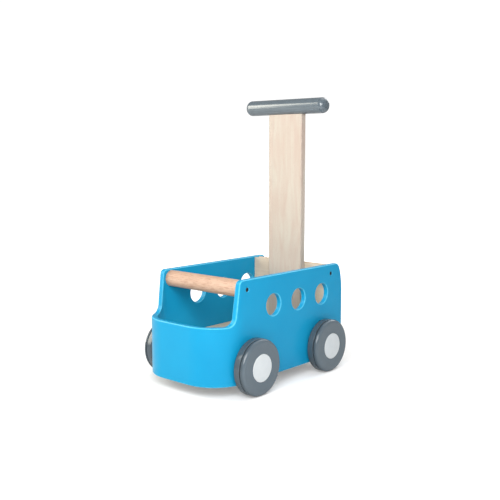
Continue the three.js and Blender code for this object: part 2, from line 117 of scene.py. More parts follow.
# ---- Wheels: distances along the axis start at the body's wall and grow outwards ----
WHEEL_INNER = 2.2 * MM
WHEEL_OUTER = 22 * MM
INNER_EDGE_ROUND = 3 * MM
OUTER_EDGE_ROUND = 5.4 * MM
GROOVE_FROM = 13.6 * MM
GROOVE_TO = 16 * MM
GROOVE_BOTTOM_RADIUS = 38 * MM
GROOVE_EASE = 0.5 * MM
BUSH_BORE_RADIUS = 7 * MM
NUT_WELL_RADIUS = 13 * MM
NUT_WELL_FLOOR = 12.4 * MM
CAP_RADIUS = 21 * MM
CAP_SEAT = 20 * MM
CAP_SEAT_EASE = 0.3 * MM
CAP_EDGE = 22.3 * MM
CAP_CROWN = 22.8 * MM
CAP_EDGE_ROUND = 0.7 * MM
CAP_SPIGOT_START = 15.5 * MM
CAP_SPIGOT_WALL = 2.7 * MM
RING_RECESS = 0.8 * MM
RING_ROUND = 0.5 * MM

# ---- Screws and bolts ----
SCREW_SHANK_RADIUS = 1.9 * MM
SCREW_HEAD_RADIUS = 3.2 * MM
SCREW_HEAD_HEIGHT = 2.2 * MM
SCREW_TIP = 4 * MM
SCREW_RIM = 0.35 * MM
SCREW_SOCKET = 1.6 * MM
SCREW_SOCKET_DEPTH = 1.3 * MM
BOLT_SHANK_RADIUS = 2.9 * MM
BOLT_HEAD_RADIUS = 5.5 * MM
BOLT_HEAD_HEIGHT = 3 * MM
BOLT_RIM = 1 * MM
BOLT_CROWN = 3 * MM
BOLT_SOCKET = 2.2 * MM
BOLT_SOCKET_DEPTH = 1.8 * MM
BOLT_CROWN_STEPS = 8
REARWARDS = Vector((0, 1, 0))
DOWNWARDS = Vector((0, 0, -1))

# ---- How finely curves are drawn ----
EASE_STEPS = 5
CURVE_STEPS = 16
ARC_STEP = 5  # degrees
SMALL_RADIUS = 2 * MM
SMALL_ARC_STEP = 18  # degrees, on arcs under the small radius
WHEEL_STEPS = 96
ROD_STEPS = 72
HEAD_STEPS = 48
SHARP_EDGE = 40  # degrees, over which an edge is shaded sharp
SHARP_EDGE_OF_HEAD = 30
FACE_WEIGHT = 90  # how far large faces rule the shading of the edges round them
SAME_PLACE = 1e-7  # closer than this to a cut, in metres, a point counts as on it


# ---- Outlines ----
def arc(centre, radius, start, end):
    """Points round a centre, from one angle to another, in degrees."""
    step = ARC_STEP if radius > SMALL_RADIUS else SMALL_ARC_STEP
    count = max(2, math.ceil(abs(end - start) / step))
    angles = [math.radians(start + (end - start) * i / count) for i in range(count + 1)]
    return [centre + radius * Vector((math.cos(a), math.sin(a))) for a in angles]


def rounded(corners):
    """Points round a closed outline whose corners are (u, v, radius)."""
    points = []
    for i, (u, v, radius) in enumerate(corners):
        corner = Vector((u, v))
        if radius == 0:
            points.append(corner)
            continue
        back = (Vector(corners[i - 1][:2]) - corner).normalized()
        ahead = (Vector(corners[(i + 1) % len(corners)][:2]) - corner).normalized()
        half = back.angle(ahead) / 2
        centre = corner + (back + ahead).normalized() * radius / math.sin(half)
        start = corner + back * radius / math.tan(half) - centre
        end = corner + ahead * radius / math.tan(half) - centre
        first = math.degrees(math.atan2(start.y, start.x))
        turn = math.degrees(start.angle_signed(end))  # clockwise is positive
        points += arc(centre, radius, first, first - turn)
    return points


def rectangle(left, right, low, high):
    return [Vector(p) for p in ((left, low), (right, low), (right, high), (left, high))]


def circle(u, v, radius):
    """A hole's outline: it runs clockwise, so that the material is on its left."""
    return arc(Vector((u, v)), radius, 360, 0)[:-1]


def bezier(a, b, c, d):
    """Points of one cubic curve, its ends left out."""
    steps = [i / CURVE_STEPS for i in range(1, CURVE_STEPS)]
    return [
        (1 - t) ** 3 * a + 3 * (1 - t) ** 2 * t * b + 3 * (1 - t) * t * t * c + t**3 * d
        for t in steps
    ]


def inset(points, distance):
    """The outline moved into the material, which is on its left."""
    moved = []
    for i, here in enumerate(points):
        before = (here - points[i - 1]).normalized()
        after = (points[(i + 1) % len(points)] - here).normalized()
        a = Vector((-before.y, before.x))
        b = Vector((-after.y, after.x))
        moved.append(here + (a + b) * distance / (1 + a.dot(b)))
    return moved


# ---- Meshes ----
def new_piece(name, made, sharp=SHARP_EDGE):
    """A mesh object from a bmesh, smooth but for edges sharper than this many degrees."""
    bmesh.ops.recalc_face_normals(made, faces=made.faces)
    mesh = bpy.data.meshes.new(name)
    made.to_mesh(mesh)
    made.free()
    mesh.shade_smooth()
    mesh.set_sharp_from_angle(angle=math.radians(sharp))
    piece = bpy.data.objects.new(name, mesh)
    bpy.context.scene.collection.objects.link(piece)
    even = piece.modifiers.new("even_shading", "WEIGHTED_NORMAL")
    even.keep_sharp = True
    even.weight = FACE_WEIGHT
    return piece


def eased_levels(depth, ease, layers):
    """(inset, depth, edge share) of each loop from one face of a board to the other; the edge share
    marks eased edges, where paint is lightened partly as a thinner coat and partly as painted
    highlight.
    """
    angles = [math.pi / 2 * i / EASE_STEPS for i in range(EASE_STEPS + 1)]
    near = [
        (ease * (1 - math.sin(a)), ease * (1 - math.cos(a)), math.sin(2 * a)) for a in angles
    ]
    straight = depth - 2 * ease
    between = [(0, ease + straight * i / layers, 0) for i in range(1, layers)]
    far = [(inward, depth - along, edge_wear_and_highlight) for inward, along, edge_wear_and_highlight in reversed(near)]
    return near + between + far


def slab(outlines, depth, place, layers=1, bends=()):
    """A board with eased edges, as a bmesh.

    outlines are (points, ease): the board's edge first, anticlockwise, then its holes, clockwise.
    bends are the values of u where the board is cut across, so that it can bend there.
    place turns (u, v, depth) into the row's frame. The edge wear and highlight attribute is 1 along
    eased edges, where paint is lightened partly as a thinner coat and partly as painted highlight.
    """
    made = bmesh.new()
    edge_wear_and_highlight_layer = made.verts.layers.float.new("edge_wear_and_highlight")
    ends = {0: [], -1: []}
    for points, ease in outlines:
        loops = []
        for inward, along, edge_wear_and_highlight in eased_levels(depth, ease, layers):
            loop = [made.verts.new((p.x, p.y, along)) for p in inset(points, inward)]
            for v in loop:
                v[edge_wear_and_highlight_layer] = edge_wear_and_highlight
            loops.append(loop)
        for lower, upper in zip(loops, loops[1:]):
            for i in range(len(points)):
                made.faces.new((lower[i - 1], lower[i], upper[i], upper[i - 1]))
        for end, found in ends.items():
            found.append(loops[end])
    for found in ends.values():
        verts = [v for loop in found for v in loop]
        for corners in tessellate_polygon([[v.co.copy() for v in loop] for loop in found]):
            made.faces.new([verts[i] for i in corners])
    for u in bends:
        everything = made.verts[:] + made.edges[:] + made.faces[:]
        bmesh.ops.bisect_plane(
            made, geom=everything, dist=SAME_PLACE, plane_co=(u, 0, 0), plane_no=(1, 0, 0)
        )
    for v in made.verts:
        v.co = place(*v.co)
    return made


def turned(profile, steps, place, hexagons=()):
    """A solid of revolution, as a bmesh. The profile's points are (radius, along).

    It starts and ends on the axis, or closes on itself. The points numbered in hexagons run
    round a hexagon in place of a circle. place turns (across, up, along) into the row's frame.
    """
    made = bmesh.new()
    loops = []
    for number, (radius, along) in enumerate(profile):
        if radius == 0:
            loops.append([made.verts.new(place(0, 0, along))])
            continue
        loop = []
        for i in range(steps):
            angle = 2 * math.pi * i / steps
            reach = radius
            if number in hexagons:
                reach /= math.cos(angle % (math.pi / 3) - math.pi / 6)
            point = place(reach * math.cos(angle), reach * math.sin(angle), along)
            loop.append(made.verts.new(point))
        loops.append(loop)
    pairs = list(zip(loops, loops[1:]))
    if len(loops[0]) > 1:
        pairs.append((loops[-1], loops[0]))
    for lower, upper in pairs:
        for i in range(steps):
            below = [lower[i - 1], lower[i]] if len(lower) > 1 else lower
            above = [upper[i], upper[i - 1]] if len(upper) > 1 else upper
            made.faces.new(below + above)
    return made


def add(piece, body, nodes, slot, material):
    """Puts a piece on its CAD body, in place of its CAD nodes, in the given material. slot is not
    used.
    """
    piece.data.materials.append(material)
    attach(piece, body)
    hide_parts(*nodes)


# ---- Materials ----
MIX_INPUTS = (0, 6, 7)  # the mix node's share and its two colours
MIX_COLOUR = 2  # its blended colour


def srgb(red, green, blue):
    """A colour given as 0 to 255, in linear values."""

    def linear(value):
        value /= 255
        return value / 12.92 if value <= 0.04045 else ((value + 0.055) / 1.055) ** 2.4

    return (linear(red), linear(green), linear(blue), 1)


class Nodes:
    """A material's node tree, with short ways to add to it."""

    def __init__(self, name):
        self.material = bpy.data.materials.new(name)
        self.material.use_nodes = True
        self.tree = self.material.node_tree
        self.shader = self.tree.nodes["Principled BSDF"]
        self.place = self.add("ShaderNodeTexCoord").outputs["Object"]

    def add(self, kind, **settings):
        node = self.tree.nodes.new(kind)
        for name, value in settings.items():
            setattr(node, name, value)
        return node

    def link(self, output, target):
        self.tree.links.new(output, target)

    def feed(self, target, value):
        """Links an output to a socket, or sets the socket to a value."""
        if isinstance(value, bpy.types.NodeSocket):
            self.link(value, target)
        else:
            target.default_value = value

    def stretched(self, scale, turn=(0, 0, 0)):
        """The object's own coordinates, scaled along each axis."""
        mapping = self.add("ShaderNodeMapping")
        mapping.inputs["Scale"].default_value = scale
        mapping.inputs["Rotation"].default_value = turn
        self.link(self.place, mapping.inputs["Vector"])
        return mapping.outputs["Vector"]

    def noise(self, vector, scale=1, detail=3, roughness=0.5, distortion=0):
        node = self.add("ShaderNodeTexNoise")
        node.inputs["Scale"].default_value = scale
        node.inputs["Detail"].default_value = detail
        node.inputs["Roughness"].default_value = roughness
        node.inputs["Distortion"].default_value = distortion
        self.link(vector, node.inputs["Vector"])
        return node.outputs["Fac"]

    def bands(self, direction, period):
        """Bands across one axis, this far apart in metres."""
        node = self.add("ShaderNodeTexWave", wave_type="BANDS", bands_direction=direction)
        node.inputs["Scale"].default_value = math.pi / (10 * period)
        self.link(self.place, node.inputs["Vector"])
        return node.outputs["Fac"]

    def spread(self, value, low, high, from_low=0.3, from_high=0.7):
        """value moved from one range to another, and kept inside it."""
        node = self.add("ShaderNodeMapRange")
        node.inputs["From Min"].default_value = from_low
        node.inputs["From Max"].default_value = from_high
        node.inputs["To Min"].default_value = low
        node.inputs["To Max"].default_value = high
        self.link(value, node.inputs["Value"])
        return node.outputs["Result"]

    def times(self, first, second):
        node = self.add("ShaderNodeMath", operation="MULTIPLY")
        self.feed(node.inputs[0], first)
        self.feed(node.inputs[1], second)
        return node.outputs["Value"]

    def mix(self, share, first, second):
        """Two colours blended by a share. Each is a value or an output."""
        node = self.add("ShaderNodeMix", data_type="RGBA")
        for number, value in zip(MIX_INPUTS, (share, first, second)):
            self.feed(node.inputs[number], value)
        return node.outputs[MIX_COLOUR]

    def bump(self, height, distance, strength=1.0, under=None):
        node = self.add("ShaderNodeBump")
        node.inputs["Strength"].default_value = strength
        node.inputs["Distance"].default_value = distance
        self.link(height, node.inputs["Height"])
        if under:
            self.link(under, node.inputs["Normal"])
        return node.outputs["Normal"]

    def facing(self, axis):
        """How squarely the surface faces along one of the object's own axes, 0 to 1."""
        normal = self.add("ShaderNodeSeparateXYZ")
        self.link(self.add("ShaderNodeTexCoord").outputs["Normal"], normal.inputs[0])
        size = self.add("ShaderNodeMath", operation="ABSOLUTE")
        self.link(normal.outputs[axis], size.inputs[0])
        return size.outputs[0]

    # The eased-edge mask: paint is lightened there, partly as a thinner coat and partly as painted
    # highlight.
    def edge_wear_and_highlight(self):
        return self.add("ShaderNodeAttribute", attribute_name="edge_wear_and_highlight").outputs["Fac"]

    def set(self, **values):
        """Sets or links the shader's sockets, with _ for a space in their names."""
        for name, value in values.items():
            self.feed(self.shader.inputs[name.replace("_", " ")], value)
        return self.material


def paint(name, colour, deep, thin_coat_and_highlight, specular, roughness, tread_shade=None):
    """Satin spray paint on wood: faint cloudiness, orange peel, and eased edges lightened, partly
    as a thinner coat and partly as painted highlight.

    The tread colour is painted shade: a darker tone on a wheel's running surface, which turns away
    from X.
    """
    n = Nodes(name)
    cloud = n.noise(n.place, 14, detail=4)
    grain = n.noise(n.stretched((30, 30, 420)), 1, detail=4)
    peel = n.noise(n.place, 900, detail=2)
    tone = n.mix(n.spread(cloud, 0, 1), colour, deep)
    edge = n.times(n.edge_wear_and_highlight(), n.spread(n.noise(n.place, 220), 0.55, 1))
    # Painted shade: the running surface, which turns away from the object's X axis, is darkened.
    if tread_shade:
        painted_tread_shade = n.times(n.spread(n.facing(0), 1, 0, 0.35, 0.9), n.spread(cloud, 0.85, 1))
        tone = n.mix(painted_tread_shade, tone, tread_shade)
    # Painted highlight with a thinner coat: eased edges lighten towards the paint's third colour.
    tone = n.mix(edge, tone, thin_coat_and_highlight)
    smooth = n.bump(grain, 0.03 * MM, 0.25)
    return n.set(
        Base_Color=tone,
        Roughness=n.spread(cloud, *roughness),
        Specular_IOR_Level=specular,
        Normal=n.bump(peel, 0.02 * MM, 0.35, under=smooth),
    )


def wood(name, light, dark, fleck, along, plies=None, figured=(46, 11, 0.03), rays=0):
    """Clear-lacquered wood whose fibres run along one axis: slow figure, fibres and fine pores.

    plies names the axis that crosses a plywood board's layers, which show on its edges.
    figured is the figure's scale across the fibres, its stretch along them and its slant.
    rays is the strength of the short dark flecks that beech shows.
    """
    n = Nodes(name)

    def grained(across, stretch, slant=0.0):
        scale = [across] * 3
        scale["xyz".index(along)] = across / stretch
        return n.stretched(scale, (slant, slant, slant))

    figure = n.noise(grained(*figured), 1, detail=5, roughness=0.55, distortion=0.7)
    streaks = n.noise(grained(210, 40, 0.02), 1, detail=4)
    fibres = n.noise(grained(1500, 60), 1, detail=2)
    pores = n.noise(grained(2600, 14), 1, detail=1)
    tone = n.mix(n.spread(figure, 0, 1, 0.36, 0.7), light, dark)
    tone = n.mix(n.spread(streaks, 0, 0.55, 0.45, 0.75), tone, dark)
    tone = n.mix(n.spread(fibres, 0, 0.22), tone, dark)
    tone = n.mix(n.spread(pores, 0, 0.5, 0.66, 0.74), tone, fleck)
    if rays:
        flecks = n.noise(grained(640, 7), 1, detail=2)
        tone = n.mix(n.spread(flecks, 0, rays, 0.5, 0.66), tone, fleck)
    if plies:
        layers = n.spread(n.bands(plies.upper(), PLY), 0, 0.7, 0.35, 0.65)
        edge = n.mix(layers, tone, fleck)
        facing = n.facing("xyz".index(plies))
        tone = n.mix(n.spread(facing, 1, 0, 0.55, 0.75), tone, edge)
    relief = n.bump(fibres, 0.03 * MM, 0.4)
    return n.set(
        Base_Color=tone,
        Roughness=n.spread(streaks, 0.42, 0.55),
        Specular_IOR_Level=0.3,
        Normal=n.bump(pores, 0.02 * MM, 0.3, under=relief),
    )


def plastic(name, colour, shade, roughness):
    """Smooth moulded plastic: faint flow marks and a fine satin texture."""
    n = Nodes(name)
    flow = n.noise(n.place, 60, detail=3, distortion=0.4)
    texture = n.noise(n.place, 2600, detail=1)
    return n.set(
        Base_Color=n.mix(n.spread(flow, 0, 1), colour, shade),
        Roughness=n.spread(flow, roughness - 0.04, roughness + 0.04),
        Specular_IOR_Level=0.35,
        Normal=n.bump(texture, 0.01 * MM, 0.3),
    )


def rubber(name, colour, dusty):
    """Moulded rubber: matt, finely pitted, dusty in patches."""
    n = Nodes(name)
    dust = n.noise(n.place, 90, detail=5, roughness=0.6)
    pits = n.noise(n.place, 1700, detail=2)
    return n.set(
        Base_Color=n.mix(n.spread(dust, 0, 1), colour, dusty),
        Roughness=n.spread(pits, 0.6, 0.75),
        Specular_IOR_Level=0.25,
        Normal=n.bump(pits, 0.03 * MM, 0.5),
    )


def metal(name, bright, dull, roughness):
    """Plated or turned metal: uneven tone and fine tool marks."""
    n = Nodes(name)
    patches = n.noise(n.place, 160, detail=4)
    marks = n.noise(n.stretched((3000, 700, 700)), 1, detail=2)
    return n.set(
        Base_Color=n.mix(n.spread(patches, 0, 1), bright, dull),
        Metallic=1.0,
        Roughness=n.spread(marks, roughness - 0.08, roughness + 0.08),
        Normal=n.bump(marks, 0.01 * MM, 0.4),
    )


# Each paint's third colour lightens its eased edges, partly as a thinner coat and partly as painted
# highlight.
BLUE = paint(
    "blue_paint",
    srgb(21, 146, 190),
    srgb(17, 140, 185),
    srgb(92, 188, 217),
    0.16,
    (0.28, 0.36),
)
GREY = paint(
    "grey_paint",
    srgb(87, 98, 106),
    srgb(82, 93, 102),
    srgb(116, 128, 137),
    0.85,
    (0.18, 0.26),
)
WHEEL_GREY = paint(
    "wheel_grey_paint",
    srgb(90, 102, 110),
    srgb(85, 97, 106),
    srgb(128, 141, 150),
    0.45,
    (0.16, 0.22),
    # Painted shade on the wheel's running surface.
    tread_shade=srgb(66, 77, 85),
)
POST_WOOD = wood(
    "post_wood",
    srgb(184, 178, 166),
    srgb(178, 160, 148),
    srgb(156, 128, 114),
    "z",
    figured=(80, 7, 0.14),
)
PANEL_WOOD = wood(
    "panel_wood",
    srgb(208, 194, 176),
    srgb(194, 176, 155),
    srgb(168, 140, 114),
    "x",
    plies="y",
)
FLOOR_WOOD = wood(
    "floor_wood",
    srgb(222, 204, 180),
    srgb(204, 182, 154),
    srgb(176, 146, 116),
    "y",
    plies="z",
)
BEAM_WOOD = wood(
    "beam_wood", srgb(228, 212, 190), srgb(208, 186, 160), srgb(180, 148, 118), "x"
)
BEECH = wood(
    "beech",
    srgb(190, 161, 140),
    srgb(172, 136, 114),
    srgb(136, 94, 72),
    "x",
    rays=0.4,
)
CAP = plastic("cap_plastic", srgb(202, 207, 209), srgb(196, 202, 205), 0.38)
NYLON = plastic("bush_nylon", srgb(232, 230, 224), srgb(224, 221, 213), 0.5)
RUBBER = rubber("ring_rubber", srgb(34, 39, 43), srgb(46, 51, 55))
STEEL = metal("steel", srgb(190, 193, 197), srgb(164, 168, 173), 0.34)
DARK_STEEL = metal("dark_steel", srgb(92, 84, 80), srgb(66, 62, 60), 0.45)
BRASS = metal("brass", srgb(190, 158, 92), srgb(164, 132, 72), 0.36)

NODE_MATERIALS = {
    "axle": STEEL,
    "washer": STEEL,
    "push_nut": STEEL,
    "hub_bush": NYLON,
    "post_insert": BRASS,
    "bar_pin": BEECH,
    "beam_screw": STEEL,
    "floor_screw": STEEL,
    "post_bolt": STEEL,
    "dowel_screw": DARK_STEEL,
    "panel_screw": DARK_STEEL,
    "axle_beam": BEAM_WOOD,
    "tread_ring": RUBBER,
    "hub_cap": CAP,
    "wheel": WHEEL_GREY,
    "push_bar": GREY,
    "body_shell": BLUE,
    "floor_board": FLOOR_WOOD,
    "back_panel": PANEL_WOOD,
    "handle_post": POST_WOOD,
    "front_dowel": BEECH,
}


def paint_frame():
    """Every CAD node, shown or not, in its own material."""
    for name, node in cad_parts.items():
        kind = max((k for k in NODE_MATERIALS if k in name), key=len)
        node.data.materials.clear()
        node.data.materials.append(NODE_MATERIALS[kind])


# ---- Body shell ----
FRONT_HALF = HALF_WIDTH - CORNER_RADIUS  # half of the front's straight stretch
BEND = CORNER_RADIUS * math.pi / 2  # length of a corner, round the outside
CORNER_START = CORNER_RADIUS - HALF_LENGTH  # the y where a side starts to bend


def unrolled(y):
    """How far round the outside a place on the side is, from the middle of the front."""
    if y >= CORNER_START:
        return FRONT_HALF + BEND + y - CORNER_START
    turn = math.asin(min(1, (CORNER_START - y) / CORNER_RADIUS))
    return FRONT_HALF + BEND - CORNER_RADIUS * turn


def sawn(turn, depth):
    """The angle round a corner, at this depth in the wall, of a cut made straight across."""
    early = min(turn, SAWN_UNTIL)
    ratio = CORNER_RADIUS / (CORNER_RADIUS - depth)
    extra = math.asin(ratio * math.sin(early)) - early
    share = min(1, max(0, (turn - SAWN_UNTIL) / (SAWN_FADE - SAWN_UNTIL)))
    return turn + extra * (1 - share * share * (3 - 2 * share))


def bent(u, v, depth):
    """The flat board bent into the truck's plan."""
    side = math.copysign(1, u)
    reach = abs(u) - FRONT_HALF
    if reach <= 0:
        return Vector((u, depth - HALF_LENGTH, v))
    if reach >= BEND:
        return Vector((side * (HALF_WIDTH - depth), CORNER_START + reach - BEND, v))
    turn = sawn((BEND - reach) / CORNER_RADIUS, depth)
    radius = CORNER_RADIUS - depth
    x = FRONT_HALF + radius * math.cos(turn)
    return Vector((side * x, CORNER_START - radius * math.sin(turn), v))


def side_outline():
    """The left side's edge in y and z, from the front's foot round to its rim."""
    rise = SHELL_HIGH.z - RIM_TOP
    pillar_foot = PILLAR_TOP_Y - PILLAR_RAKE * rise
    rear_top = HALF_LENGTH - REAR_CURVE_RUN
    curve_top = Vector((rear_top, SHELL_HIGH.z))
    curve_foot = Vector((HALF_LENGTH, REAR_CURVE_START))
    rise_point = REAR_CURVE_START + (SHELL_HIGH.z - REAR_CURVE_START) * REAR_CURVE_RISE
    curve = bezier(
        curve_foot,
        Vector((HALF_LENGTH - REAR_CURVE_LEAN, rise_point)),
        Vector((rear_top + REAR_CURVE_RUN * REAR_CURVE_FULLNESS, SHELL_HIGH.z)),
        curve_top,
    )
    corners = [
        (-HALF_LENGTH, SHELL_LOW.z, 0),
        (HALF_LENGTH, SHELL_LOW.z, REAR_BOTTOM_CORNER),
        (*curve_foot, 0),
        *[(*point, 0) for point in curve],
        (*curve_top, 0),
        (PILLAR_TOP_Y, SHELL_HIGH.z, PILLAR_CORNER),
        (pillar_foot, RIM_TOP, PILLAR_FILLET),
        (-HALF_LENGTH, RIM_TOP, 0),
    ]
    return rounded(corners)


def body_shell():
    left = [Vector((unrolled(p.x), p.y)) for p in side_outline()]
    right = [Vector((-p.x, p.y)) for p in reversed(left)]
    outlines = [(left + right, SHELL_EASE)]
    holes = []
    for i in range(WINDOW_COUNT):
        y = WINDOW_FIRST_Y + i * WINDOW_PITCH
        holes.append((y, WINDOW_HEIGHT, WINDOW_RADIUS, WINDOW_EASE))
    for centre in WHEEL_CENTRES.values():
        holes.append((centre.y, centre.z, AXLE_HOLE_RADIUS, HOLE_EASE))
    for screw in ("dowel_screw_left", "panel_screw_lower_left", "panel_screw_upper_left"):
        centre = middle(screw)
        holes.append((centre.y, centre.z, SCREW_HOLE_RADIUS, HOLE_EASE))
    for y, z, radius, ease in holes:
        for side in SIDES.values():
            outlines.append((circle(side * unrolled(y), z, radius), ease))
    bends = [
        side * (FRONT_HALF + BEND * i / BEND_STRIPS)
        for side in SIDES.values()
        for i in range(BEND_STRIPS + 1)
    ]
    made = slab(outlines, WALL, bent, bends=bends)
    add(new_piece("painted_shell", made), "truck", ["body_shell"], "blue_paint", BLUE)


# ---- Floor, back panel, post and beams ----
def floor_board():
    low, high = FLOOR_LOW, FLOOR_HIGH
    radius = CORNER_RADIUS - WALL - FIT
    outline = rounded(
        [
            (low.x, high.y, 0),
            (low.x, low.y, radius),
            (high.x, low.y, radius),
            (high.x, high.y, 0),
        ]
    )

    def place(u, v, depth):
        return Vector((u, v, high.z - depth))

    made = slab([(outline, FLOOR_EASE)], high.z - low.z, place)
    add(new_piece("floor_ply", made), "truck", ["floor_board"], "pale_wood", FLOOR_WOOD)


def back_panel():
    low, high = PANEL_LOW, PANEL_HIGH
    outline = rectangle(high.x, low.x, low.z, high.z)
    outlines = [(outline, PANEL_EASE)]
    for side in SIDES:
        centre = middle("floor_screw_" + side)
        outlines.append((circle(centre.x, centre.z, SCREW_HOLE_RADIUS), HOLE_EASE))

    def place(u, v, depth):
        return Vector((u, high.y - depth, v))

    made = slab(outlines, high.y - low.y, place)
    add(new_piece("panel_ply", made), "truck", ["back_panel"], "pale_wood", PANEL_WOOD)


def handle_post():
    """Its top end is hollowed to the push bar, and its foot stands flat on the floor."""
    low, high = POST_LOW, POST_HIGH
    outline = rectangle(low.x, high.x, low.z - POST_OVERRUN, BAR.z + POST_OVERRUN)

    def place(u, v, depth):
        y = low.y + depth
        saddle = BAR.z - math.sqrt((BAR_RADIUS + FIT) ** 2 - (y - BAR.y) ** 2)
        return Vector((u, y, min(max(v, low.z), saddle)))

    made = slab([(outline, POST_EASE)], high.y - low.y, place, layers=POST_LAYERS)
    add(new_piece("post_board", made), "truck", ["handle_post"], "pale_wood", POST_WOOD)


def axle_beams():
    for axle in AXLES:
        low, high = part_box("axle_beam_" + axle)
        outline = rectangle(low.y, high.y, low.z, high.z)
        centre = WHEEL_CENTRES[axle]
        bore = circle(centre.y, centre.z, AXLE_HOLE_RADIUS)

        def place(u, v, depth):
            return Vector((low.x + depth, u, v))

        made = slab([(outline, BEAM_EASE), (bore, HOLE_EASE)], high.x - low.x, place)
        piece = new_piece("beam_" + axle, made)
        add(piece, "truck", ["axle_beam_" + axle], "pale_wood", BEAM_WOOD)


# ---- Round bars ----
def rod_profile(radius, end, ease):
    return rounded([(0, -end, 0), (radius, -end, ease), (radius, end, ease), (0, end, 0)])


def push_bar():
    end = BAR_HIGH.x
    outline = rod_profile(BAR_RADIUS, end, BAR_END_ROUND)

    def place(across, up, along):
        return Vector((along, BAR.y + across, BAR.z + up))

    piece = new_piece("grip_bar", turned(outline, ROD_STEPS, place))
    add(piece, "truck", ["push_bar"], "grey_paint", GREY)


def front_dowel():
    """Its ends are cut to the walls' inner faces, which bend away towards the front."""
    end = DOWEL_HIGH.x
    profile = rod_profile(DOWEL_RADIUS, end, DOWEL_EASE)
    inner = CORNER_RADIUS - WALL - FIT

    def place(across, up, along):
        y = DOWEL.y + across
        round_corner = min(0, y - CORNER_START)
        reach = FRONT_HALF + math.sqrt(inner**2 - round_corner**2)
        return Vector((along * reach / end, y, DOWEL.z + up))

    piece = new_piece("dowel_rail", turned(profile, ROD_STEPS, place))
    add(piece, "truck", ["front_dowel"], "beech", BEECH)


# ---- Wheels ----
def wheel_profile():
    return rounded(
        [
            (BUSH_BORE_RADIUS, WHEEL_INNER, GROOVE_EASE),
            (WHEEL_RADIUS, WHEEL_INNER, INNER_EDGE_ROUND),
            (WHEEL_RADIUS, GROOVE_FROM, GROOVE_EASE),
            (GROOVE_BOTTOM_RADIUS, GROOVE_FROM, 0),
            (GROOVE_BOTTOM_RADIUS, GROOVE_TO, 0),
            (WHEEL_RADIUS, GROOVE_TO, GROOVE_EASE),
            (WHEEL_RADIUS, WHEEL_OUTER, OUTER_EDGE_ROUND),
            (CAP_RADIUS + FIT, WHEEL_OUTER, CAP_SEAT_EASE),
            (CAP_RADIUS + FIT, CAP_SEAT, 0),
            (NUT_WELL_RADIUS, CAP_SEAT, 0),
            (NUT_WELL_RADIUS, NUT_WELL_FLOOR, 0),
            (BUSH_BORE_RADIUS, NUT_WELL_FLOOR, 0),
        ]
    )


def ring_profile():
    crown = WHEEL_RADIUS - RING_RECESS
    bottom = GROOVE_BOTTOM_RADIUS + FIT
    start, end = GROOVE_FROM + FIT, GROOVE_TO - FIT
    return rounded(
        [(bottom, start, 0), (crown, start, RING_ROUND), (crown, end, RING_ROUND), (bottom, end, 0)]
    )


def cap_profile():
    under = CAP_SEAT + FIT
    spigot = NUT_WELL_RADIUS - FIT
    return rounded(
        [
            (0, under, 0),
            (spigot - CAP_SPIGOT_WALL, under, 0),
            (spigot - CAP_SPIGOT_WALL, CAP_SPIGOT_START, 0),
            (spigot, CAP_SPIGOT_START, 0),
            (spigot, under, 0),
            (CAP_RADIUS, under, 0),
            (CAP_RADIUS, CAP_EDGE, CAP_EDGE_ROUND),
            (0, CAP_CROWN, 0),
        ]
    )


def wheels():
    for axle in AXLES:
        for side, sign in SIDES.items():
            hub = WHEEL_CENTRES[axle] + Vector((sign * HALF_WIDTH, 0, 0))

            def place(across, up, along):
                return hub + Vector((sign * along, across, up))

            prefix = axle + "_" + side + "_"
            body = "wheel_" + axle + "_" + side
            for node, name, profile, slot, material in (
                ("wheel", "turned_wheel", wheel_profile(), "grey_paint", WHEEL_GREY),
                ("tread_ring", "tyre", ring_profile(), "ring_rubber", RUBBER),
                ("hub_cap", "hub_disc", cap_profile(), "cap_plastic", CAP),
            ):
                piece = new_piece(prefix + name, turned(profile, WHEEL_STEPS, place))
                add(piece, body, [prefix + node], slot, material)


# ---- Screws and bolts ----
def screw_profile(length):
    """A countersunk screw's profile, and the numbers of the points round its hexagon socket."""
    outside = [
        (0, -length),
        (SCREW_SHANK_RADIUS, SCREW_TIP - length),
        (SCREW_SHANK_RADIUS, -SCREW_HEAD_HEIGHT),
        (SCREW_HEAD_RADIUS, -SCREW_RIM),
        (SCREW_HEAD_RADIUS - SCREW_RIM, 0),
    ]
    socket = [(SCREW_SOCKET, 0), (SCREW_SOCKET, -SCREW_SOCKET_DEPTH), (0, -SCREW_SOCKET_DEPTH)]
    return outside + socket, (len(outside), len(outside) + 1)


def bolt_profile(length):
    """A button-head bolt's profile, and the numbers of the points round its hexagon socket."""
    outside = [(0, -length), (BOLT_SHANK_RADIUS, -length), (BOLT_SHANK_RADIUS, -BOLT_HEAD_HEIGHT)]
    outside.append((BOLT_HEAD_RADIUS, -BOLT_HEAD_HEIGHT))
    for i in range(BOLT_CROWN_STEPS + 1):
        share = i / BOLT_CROWN_STEPS
        radius = BOLT_CROWN + (BOLT_HEAD_RADIUS - BOLT_CROWN) * math.cos(share * math.pi / 2)
        height = (BOLT_RIM - BOLT_HEAD_HEIGHT) * (1 - math.sin(share * math.pi / 2))
        outside.append((radius, height))
    socket = [(BOLT_SOCKET, 0), (BOLT_SOCKET, -BOLT_SOCKET_DEPTH), (0, -BOLT_SOCKET_DEPTH)]
    return outside + socket, (len(outside), len(outside) + 1)


